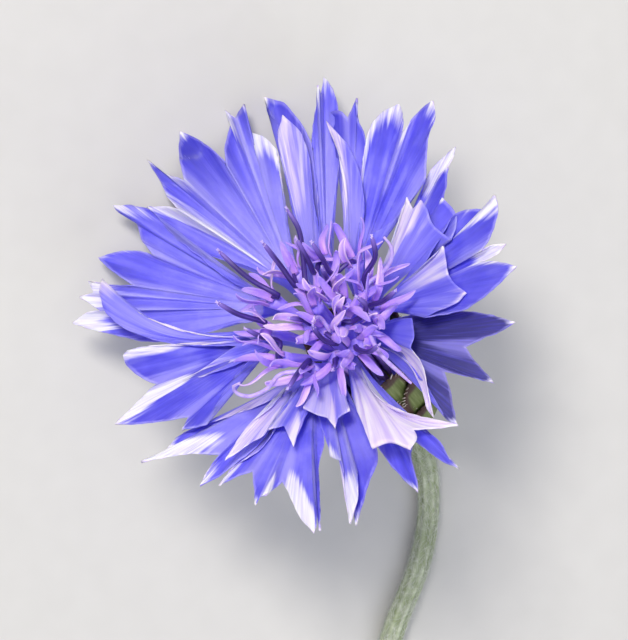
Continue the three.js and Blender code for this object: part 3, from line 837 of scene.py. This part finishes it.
# How far each corolla's mouth leans out from the axis (or in towards it), in millimetres
COROLLA_SWAYS = [
    -0.4, -0.3, -0.4, -0.5, -0.6, -0.5, 0.8, 1.1, 0.9, 0.9, 0.3, -0.9, -1.1, -1.3, -1.2, -0.9, 0.5, 0.7
]
ANTHER_FOOT_HEIGHT = 22.8
ANTHER_TIP_HEIGHT = 26
ANTHER_RADIUS = 0.23
ANTHER_REACH = 2.6
ANTHER_OUTLINE = ([0, 0.3, 0.7, 0.92, 0.98, 1], [0.7, 0.9, 1, 0.95, 0.8, 0.45])
FLORET_SIDES = 15
FINE_RINGS = 34
STYLE_RADIUS = 0.1
BARE_STYLE_RADIUS = 0.22
DISC_LOBES = 5
DISC_LOBE_STEPS = 14
DISC_LOBE_LENGTH = 3.8
DISC_LOBE_HALF_WIDTH = 0.38
DISC_LOBE_OUTLINE = ([0, 0.15, 0.5, 0.82, 0.94, 1], [0.7, 0.85, 1, 0.78, 0.42, 0.08])
DISC_LOBE_LEAN = 0.9
DISC_LOBE_COLUMNS = 9
DISC_LOBE_PALES = [0.2, 0.3, 0.4, 0.55, 0.8]
DISC_LOBE_WAVE = 0.05
DISC_LOBE_WAVE_SIZE = 0.9
DISC_LOBE_ROOT = 0.25
DISC_TUBE_RADIUS = 0.3
DISC_BELL_RADIUS = 0.5
DISC_MOUTH_RADIUS = 0.8
DISC_MOUTH_SHARE = 0.91
DISC_WALL = 0.1
POLLEN_GRAINS = 6
CENTRE_BAND = 1.1


def centre_line(name, shares):
    """Points of the middle line of an upright node, at these shares of its height."""
    points = node_points(name)
    heights = points @ AXIS
    low, high = heights.min(), heights.max()
    middles = []
    for share in shares:
        near = np.exp(-(((heights - low - share * (high - low)) / CENTRE_BAND) ** 2))
        middles.append((points * near[:, None]).sum(axis=0) / near.sum())
    return np.array(middles)


def disc_lobe(mouth, ahead, outward, lean, dice):
    """A narrow strap that leaves the mouth, arches outwards, and ends in an upturned point."""
    side = unit(np.cross(ahead, outward))
    length = DISC_LOBE_LENGTH * dice.uniform(0.8, 1.15)
    swerve, twist = dice.uniform(-0.7, 0.7), dice.uniform(-0.8, 0.8)
    v = np.linspace(0, 1, DISC_LOBE_STEPS + 1)[:, None]
    angle = lean * np.sin(pi * 0.8 * v) + dice.uniform(-1.5, 1.0) * v**2
    steps = np.cos(angle) * ahead + np.sin(angle) * outward + swerve * v * side
    steps /= norm(steps, axis=1, keepdims=True)
    line = mouth + np.cumsum(steps, axis=0) * length / DISC_LOBE_STEPS
    width = DISC_LOBE_HALF_WIDTH * np.interp(v, *DISC_LOBE_OUTLINE)
    u = np.linspace(-1, 1, DISC_LOBE_COLUMNS)
    roll = twist * v**1.5
    face = np.cross(side, steps)
    across = np.cos(roll) * side + np.sin(roll) * face
    lifted = np.cos(roll) * face - np.sin(roll) * side
    grid = line[:, None] + (u * width)[..., None] * across[:, None]
    grid = grid + (u**2 * width * dice.uniform(0.15, 0.5))[..., None] * lifted[:, None]
    waves = wobble(grid, DISC_LOBE_WAVE_SIZE, dice.uniform(0, 50))
    grid = grid + DISC_LOBE_WAVE * waves[..., None] * ahead
    # Pink painted highlight on some lobes, strongest at their edges
    pale = dice.choice(DISC_LOBE_PALES) * smooth(v, -0.2, 0.5) * (0.6 + 0.4 * u**2)
    values = dict(across=u * DISC_LOBE_HALF_WIDTH, along=v * length, depth=v, pale=pale)
    values["piece"] = dice.uniform(0, 40)
    return shell(grid, DISC_WALL, False, values)


def disc_floret(number):
    """A slender corolla with five strap-like lobes, its anther tube and its style."""
    name = f"disc_floret_{number}"
    dice = random.Random(number * 13)
    line = centre_line(name, [0, 0.3, 0.55, DISC_MOUTH_SHARE, 1])
    bell = line[3]
    ahead = unit(line[4] - bell)
    if number in ANTHER_PATHS:
        leaving = at_height(ANTHER_PATHS[number][1:3], ANTHER_FOOT_HEIGHT + 1).mean(axis=0)
        ahead = unit(ahead + unit(leaving - bell))
    from_axis = bell - HEAD_FOOT - AXIS * ((bell - HEAD_FOOT) @ AXIS)
    bell = bell + COROLLA_SWAYS[number - 1] * unit(from_axis)
    rings = DISC_LOBE_STEPS
    radii = [DISC_TUBE_RADIUS, DISC_TUBE_RADIUS, DISC_BELL_RADIUS, DISC_MOUTH_RADIUS]
    radii = np.interp(np.linspace(0, 1, rings), [0, 0.75, 0.9, 1], radii)
    path = spline([*line[:3], bell], rings)
    parts = [rod(path, radii, FLORET_SIDES, DISC_LOBES, 0.06, seed=number)]
    one = unit(from_axis - ahead * (from_axis @ ahead))
    other = np.cross(ahead, one)
    start = dice.uniform(-20, 20)
    for lobe in range(DISC_LOBES):
        turn = radians(start + 360 / DISC_LOBES * lobe + dice.uniform(-14, 14))
        outward = cos(turn) * one + sin(turn) * other
        mouth = bell + outward * DISC_MOUTH_RADIUS * 0.85 - ahead * DISC_LOBE_ROOT
        lean = DISC_LOBE_LEAN + 0.25 * cos(turn) + dice.uniform(-0.35, 0.3)
        parts.append(disc_lobe(mouth, ahead, outward, lean, dice))
    add_piece(f"corolla_{name}", parts, [DISC_PETAL], "disc_petal", name)
    inside = [line[2], bell]
    share = np.linspace(0, 1, FINE_RINGS)
    if number in STYLE_PATHS:
        path = spline(seen_path(STYLE_PATHS[number], inside), FINE_RINGS)
        thin = BARE_STYLE_RADIUS * np.interp(share, [0, 0.85, 1], [1, 0.85, 0.5])
        add_piece(f"style_{name}", [rod(path, thin, 10, seed=number)], [STYLE], "disc_petal")
    if number in ANTHER_PATHS:
        path = seen_path(ANTHER_PATHS[number], inside)
    elif number in STYLE_PATHS:
        return
    else:
        lean = unit(ahead + 0.3 * np.array([dice.uniform(-1, 1) for _ in range(3)]))
        path = [*inside, bell + ahead * ANTHER_REACH / 2, bell + lean * ANTHER_REACH]
    path = spline(path, FINE_RINGS)
    radii = ANTHER_RADIUS * np.interp(share, *ANTHER_OUTLINE)
    tube = rod(path, radii, FLORET_SIDES, DISC_LOBES, 0.12, seed=number)
    add_piece(f"anther_{name}", [tube], [ANTHER], "disc_petal")
    add_piece(f"stigma_{name}", stigma(path, dice), [STYLE, POLLEN], "disc_petal")


def seen_path(pixels, inside):
    """From inside a corolla, out of its mouth and then along the pixels, rising to the tip."""
    heights = np.linspace(ANTHER_FOOT_HEIGHT, ANTHER_TIP_HEIGHT, len(pixels))
    return [*inside, *at_height(pixels, heights)]


def stigma(anther_path, dice):
    """The style's end: two short arms, with a little pollen round the anther tube's mouth."""
    end = anther_path[-1]
    ahead = unit(end - anther_path[-3])
    side = unit(np.cross(ahead, AXIS + 0.1 * LOW_SIDE))
    parts = [rod([end - ahead * 0.5, end + ahead * 0.14], STYLE_RADIUS, 8)]
    for sign in (-1, 1):
        arm = [(0.1, 0), (0.2, 0.05), (0.26, 0.12)]
        arm = [end + ahead * rise + sign * side * out for rise, out in arm]
        parts.append(rod(spline(arm, 6), np.linspace(STYLE_RADIUS * 0.8, 0.05, 6), 7))
    for _ in range(POLLEN_GRAINS):
        turn = dice.uniform(0, 2 * pi)
        away = cos(turn) * side + sin(turn) * np.cross(ahead, side)
        place = end + away * dice.uniform(0.08, 0.2) - ahead * dice.uniform(-0.05, 0.3)
        grain = [place - ahead * 0.05, place, place + ahead * 0.05]
        parts.append(rod(grain, [0.02, 0.055, 0.02], 6, number=1))
    return parts


for number in range(1, len(COROLLA_SWAYS) + 1):
    disc_floret(number)


# ---- involucre

BRACTS_PER_ROW = 8
BRACT_ROWS = [
    dict(name="inner", foot=3.1, top=14.6, turn=0),
    dict(name="middle", foot=1.7, top=10.8, turn=22.5),
    dict(name="outer", foot=0.6, top=6.3, turn=9),
]
BRACT_ROW_STEP = 0.62
BRACT_WALL = 0.22
BRACT_STEPS_ALONG = 20
BRACT_STEPS_ACROSS = 17
BRACT_OVERLAP = 1.12
BRACT_CROWN = 0.16
BRACT_BULGE = 0.12
# Radius of the innermost scales by height up the head's axis
INVOLUCRE_HEIGHTS = [0.3, 1.2, 2.6, 6, 9, 12, 15]
INVOLUCRE_RADII = [1.68, 2.68, 3.38, 3.93, 4.02, 4.15, 4.75]
FRINGE_TEETH = 11
FRINGE_START = 0.4
FRINGE_LENGTH = 0.75
FRINGE_RADIUS = 0.07
TOOTH_RADII = [FRINGE_RADIUS, FRINGE_RADIUS, 0.045, 0.012]
TOOTH_ROOT = 0.12


def bract_radius(row, height):
    """How far a row of scales stands from the axis at this height."""
    wall = np.interp(height, INVOLUCRE_HEIGHTS, INVOLUCRE_RADII)
    if row == 0:
        return wall
    foot = BRACT_ROWS[row]["foot"]
    spread = BRACT_ROWS[row - 1]["foot"] - foot
    return wall + row * BRACT_ROW_STEP * np.clip((height - foot) / spread, 0, 1)


def bract_half_width(v, radius):
    """Half a scale's width at a share of its length: widest below the middle, then pointed."""
    full = pi / BRACTS_PER_ROW * radius * BRACT_OVERLAP
    base = 0.8 + 0.2 * np.sin(np.minimum(v / 0.45, 1) * pi / 2)
    point = np.sqrt(np.maximum(1 - (np.maximum(v - 0.42, 0) / 0.58) ** 2.2, 0))
    return np.maximum(full * base * point, 0.05)


def head_points(turn, radius, height):
    """Points of the head for arrays of directions in degrees, radii and heights."""
    turn = np.radians(turn)
    return (
        HEAD_FOOT
        + np.asarray(radius * np.cos(turn))[..., None] * LOW_SIDE
        + np.asarray(radius * np.sin(turn))[..., None] * CROSS_SIDE
        + np.asarray(height, float)[..., None] * AXIS
    )


def bract(row, index):
    """One scale: a keeled green shell with a fringe of dry teeth along its upper margin."""
    plan = BRACT_ROWS[row]
    dice = random.Random(row * 100 + index)
    middle = plan["turn"] + 360 / BRACTS_PER_ROW * index
    length = plan["top"] - plan["foot"]
    v = np.linspace(0, 1, BRACT_STEPS_ALONG)[:, None]
    u = np.linspace(-1, 1, BRACT_STEPS_ACROSS)
    height = plan["foot"] + length * v
    radius = bract_radius(row, height)
    half = bract_half_width(v, radius)
    crown = BRACT_CROWN * (1 - u**2) - 0.02
    bulge = BRACT_BULGE * np.sin(pi * v)
    turn = middle + np.degrees(u * half / radius)
    grid = head_points(turn, radius + crown + bulge, np.broadcast_to(height, turn.shape))
    margin = np.maximum(np.abs(u), smooth(v, 0.55, 1.0) * 0.98) * smooth(v, 0.25, 0.5)
    values = dict(across=half * u, along=v * length, margin=margin, depth=v, piece=row * 10 + index)
    parts = [shell(grid, BRACT_WALL, False, values)]
    for side in (-1, 1):
        for tooth in range(FRINGE_TEETH):
            share = FRINGE_START + 0.6 * (tooth + dice.uniform(0.2, 0.8)) / FRINGE_TEETH
            at = plan["foot"] + length * share
            r = float(bract_radius(row, at)) + 0.1
            w = float(bract_half_width(np.array(share), r))
            out = FRINGE_LENGTH * dice.uniform(0.75, 1.1)
            lift = 0.12 + 0.2 * dice.random()
            lean = 0.35 + 0.65 * share
            line = [
                (w - TOOTH_ROOT, r, at),
                (w + out * 0.5 * (1 - lean * 0.6), r + lift * 0.4, at + out * 0.5 * lean),
                (w + out * (1 - lean * 0.7), r + lift, at + out * lean),
            ]
            line = [head_points(middle + degrees(side * a / r), b, c) for a, b, c in line]
            parts.append(rod(spline(line, 4), TOOTH_RADII, 5, number=1))
    name = f"bract_{plan['name']}_{index + 1}"
    add_piece(f"scale_{name}", parts, [BRACT, FRINGE], "bract", name)


for row in range(len(BRACT_ROWS)):
    for index in range(BRACTS_PER_ROW):
        bract(row, index)

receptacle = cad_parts["receptacle"].data
receptacle.materials.clear()
receptacle.materials.append(FLESH)


# ---- stem

STEM_RADIUS = 1.1
NECK_LENGTH = 2.8
# The stem's middle line from the head's foot to the cut, as x and y from the foot and the height:
# first it comes down to the table, and then it lies on it
STEM_BEND = [(2.6, -3.9, 2.25), (3.7, -6.4, 1.45)]
STEM_REST = [(4.5, -9), (4.85, -13.4), (4.2, -18.4), (2.3, -24.5)]
STEM_REST += [(1.2, -31), (1, -38), (1.8, -45), (3, -52)]
STEM_ROUTE = STEM_BEND + [(x, y, STEM_RADIUS) for x, y in STEM_REST]
STEM_RINGS = 150
STEM_SIDES = 48
STEM_RIBS = 8
RIB_DEPTH = 0.06
# How uneven the stem's thickness is, and how often that turns along its length
STEM_UNEVENNESS = 0.05
STEM_SWELLS = 9
HAIRS = 4200
HAIR_LENGTH = 1.3
HAIR_RADIUS = 0.012
HAIR_RADII = [HAIR_RADIUS] * 4 + [HAIR_RADIUS / 3]


def stem():
    """The ribbed stem with its cut end, and the wool of fine hairs on it."""
    ground = HEAD_FOOT * (1, 1, 0)
    route = [HEAD_FOOT, HEAD_FOOT - NECK_LENGTH * AXIS, *(ground + p for p in STEM_ROUTE)]
    path = spline(route, STEM_RINGS)
    share = np.linspace(0, 1, STEM_RINGS)
    uneven = np.array([noise.noise(Vector((s * STEM_SWELLS, 2, 0))) for s in share])
    radii = STEM_RADIUS * (0.93 + STEM_UNEVENNESS * uneven)
    radii = radii * np.interp(share, [0, 0.03, 0.12, 1], [1.12, 1.02, 1, 1])
    body = rod(path, radii, STEM_SIDES, STEM_RIBS, RIB_DEPTH)
    body[2][-1] = 1
    add_piece("stem_skin", [body], [STEM, PITH], "stem", "stem")
    one, other = turning_frames(path)
    parts = []
    for _ in range(HAIRS):
        at = draw.randrange(2, STEM_RINGS - 2)
        turn = draw.uniform(0, 2 * pi)
        out = cos(turn) * one[at] + sin(turn) * other[at]
        ahead = unit(path[at + 1] - path[at - 1])
        around_it = np.cross(ahead, out)
        lean = draw.uniform(-1, 1)
        length = HAIR_LENGTH * draw.uniform(0.5, 1.2)
        run = unit(ahead * lean + around_it * draw.uniform(-0.4, 0.4)) * length
        root = path[at] + out * radii[at] * 0.96
        middle = root + run * 0.5 + out * (0.12 + 0.1 * draw.random())
        end = root + run - out * draw.uniform(-0.25, 0.25)
        hair = spline([root, middle, end], len(HAIR_RADII))
        hair[:, 2] = np.maximum(hair[:, 2], TABLE_CLEARANCE / 3)
        parts.append(rod(hair, HAIR_RADII, 3))
    add_piece("stem_wool", parts, [WOOL], "stem")


stem()


# ---- table, light and camera

TABLE_REACH = 0.9
SENSOR_HEIGHT = 36
ROOM_LIGHT = 0.45


def floor():
    """A matt pale table top."""
    mesh = bpy.data.meshes.new("table_top")
    corners = [(TABLE_REACH * x, TABLE_REACH * y, 0) for x, y in ((-1, -1), (1, -1), (1, 1), (-1, 1))]
    mesh.from_pydata(corners, [], [(0, 1, 2, 3)])
    mesh.materials.append(TABLE_TOP)
    place_object("table_top", mesh)


def area_light(name, direction, distance, size, power, colour):
    """A round lamp that looks at the head from a direction; distance and size are in metres."""
    light = bpy.data.lights.new(name, "AREA")
    light.shape = "DISK"
    light.size = size
    light.energy = power
    light.color = linear(colour)[:3]
    lamp = place_object(name, light)
    aim = Vector(HEAD_FOOT * MM)
    lamp.location = aim + Vector(direction).normalized() * distance
    lamp.rotation_euler = (lamp.location - aim).to_track_quat("Z", "Y").to_euler()


def camera():
    """The view that the pixels above are counted in."""
    data = bpy.data.cameras.new("view")
    data.sensor_fit = "VERTICAL"
    data.sensor_height = SENSOR_HEIGHT
    data.lens = SENSOR_HEIGHT * FOCAL / VIEW_SIZE[1]
    data.clip_start = 0.01
    view = place_object("view", data)
    view.location = Vector(CAMERA * MM)
    facing = Matrix([VIEW_RIGHT, VIEW_UP, TO_CAMERA]).transposed()
    view.rotation_euler = facing.to_euler()
    bpy.context.scene.camera = view


floor()
area_light("key", (-0.7, 1.0, 1.4), 0.9, 0.22, 6.8, "#fffaf2")
area_light("fill", (0.7, -0.9, 1.3), 1.1, 0.8, 3.6, "#eef2ff")
area_light("top", (-0.2, 0.2, 1.0), 1.1, 1.0, 2.4, "#f2f4ff")
world = bpy.data.worlds.new("soft_room")
world.use_nodes = True
background = world.node_tree.nodes["Background"]
background.inputs["Color"].default_value = linear("#eef0f6")
background.inputs["Strength"].default_value = ROOM_LIGHT
bpy.context.scene.world = world
bpy.context.scene.view_settings.view_transform = "Standard"
camera()
